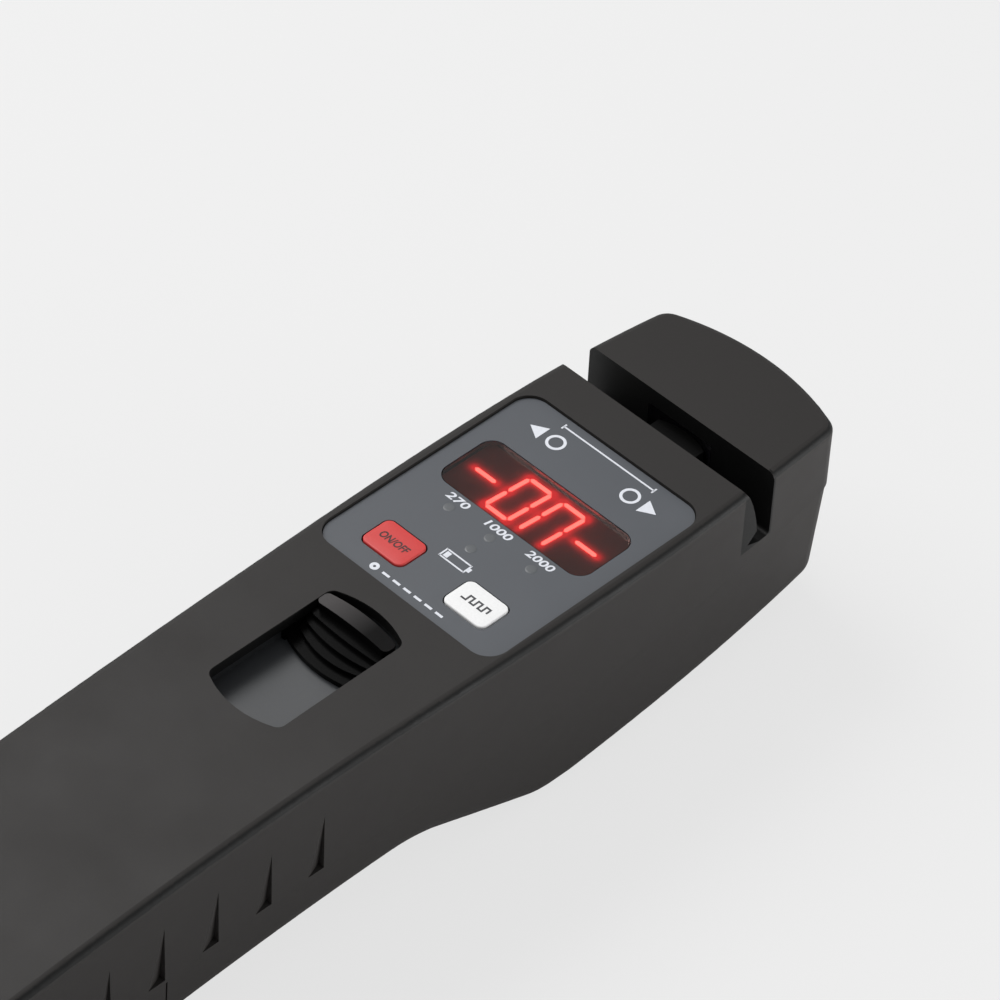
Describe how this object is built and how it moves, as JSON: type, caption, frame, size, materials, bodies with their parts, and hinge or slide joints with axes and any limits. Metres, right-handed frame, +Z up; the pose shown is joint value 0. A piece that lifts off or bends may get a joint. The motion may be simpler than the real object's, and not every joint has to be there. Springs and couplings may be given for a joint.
{
  "type": "optical fibre identifier with visual fault locator",
  "caption": "Hand-held live-fibre identifier and visual fault locator: fibre slot across the head, thumb-slider clamp, red digit display, two keys and a laser port at the tail.",
  "frame": {"origin": "centre of the bounding box in plan, on the plane that the belly and the heel rest on", "axes": "+Z up through the deck, +Y along the body toward the head, +X to the reader's right"},
  "size_m": [0.0426, 0.21, 0.0393],
  "materials": {
    "upper_shell": "satin",
    "lower_shell": "satin",
    "battery_door": "satin",
    "case_screws": "satin",
    "control_label": "satin",
    "display_lens": "gloss",
    "display_module": "matte",
    "display_segments": "gloss",
    "power_key": "satin",
    "pulse_key": "satin",
    "key_switches": "satin",
    "direction_lamps": "gloss",
    "tone_lamps": "gloss",
    "low_battery_lamp": "gloss",
    "main_board": "satin",
    "slider_tray": "satin",
    "thumb_slider": "satin",
    "slider_link": "satin",
    "fibre_anvil": "matte",
    "return_spring": "satin",
    "detector_block": "gloss",
    "photodiodes": "satin",
    "detector_board": "satin",
    "battery_cradle": "matte",
    "battery_cells": "gloss",
    "battery_contacts": "satin",
    "laser_module": "satin",
    "laser_port": "satin"
  },
  "bodies": {
    "housing": {"upper_shell": "upper_shell", "lower_shell": "lower_shell", "case_screws": "case_screws", "control_label": "control_label", "display_lens": "display_lens", "display_module": "display_module", "display_segments": "display_segments", "key_switches": "key_switches", "direction_lamps": "direction_lamps", "tone_lamps": "tone_lamps", "low_battery_lamp": "low_battery_lamp", "main_board": "main_board", "slider_tray": "slider_tray", "return_spring": "return_spring", "detector_block": "detector_block", "photodiodes": "photodiodes", "detector_board": "detector_board", "battery_cradle": "battery_cradle", "battery_cells": "battery_cells", "battery_contacts": "battery_contacts", "laser_module": "laser_module", "laser_port": "laser_port"},
    "slider": {"thumb_slider": "thumb_slider", "slider_link": "slider_link", "fibre_anvil": "fibre_anvil"},
    "power_key": {"power_key": "power_key"},
    "pulse_key": {"pulse_key": "pulse_key"},
    "battery_door": {"battery_door": "battery_door"}
  },
  "joints": [
    {"name": "slider_pull", "type": "slide", "parent": "housing", "child": "slider", "axis": [0, -1, 0], "range_m": [0, 0.007], "stiffness_N_per_m": 250, "springref_m": -0.012, "deforming": ["return_spring"]},
    {"name": "power_key_press", "type": "slide", "parent": "housing", "child": "power_key", "axis": [0, 0, -1], "range_m": [0, 0.0005], "stiffness_N_per_m": 300, "springref_m": -0.002},
    {"name": "pulse_key_press", "type": "slide", "parent": "housing", "child": "pulse_key", "axis": [0, 0, -1], "range_m": [0, 0.0005], "stiffness_N_per_m": 300, "springref_m": -0.002},
    {"name": "door_slide", "type": "slide", "parent": "housing", "child": "battery_door", "axis": [0, -0.996, -0.0896], "range_m": [0, 0.012]}
  ]
}
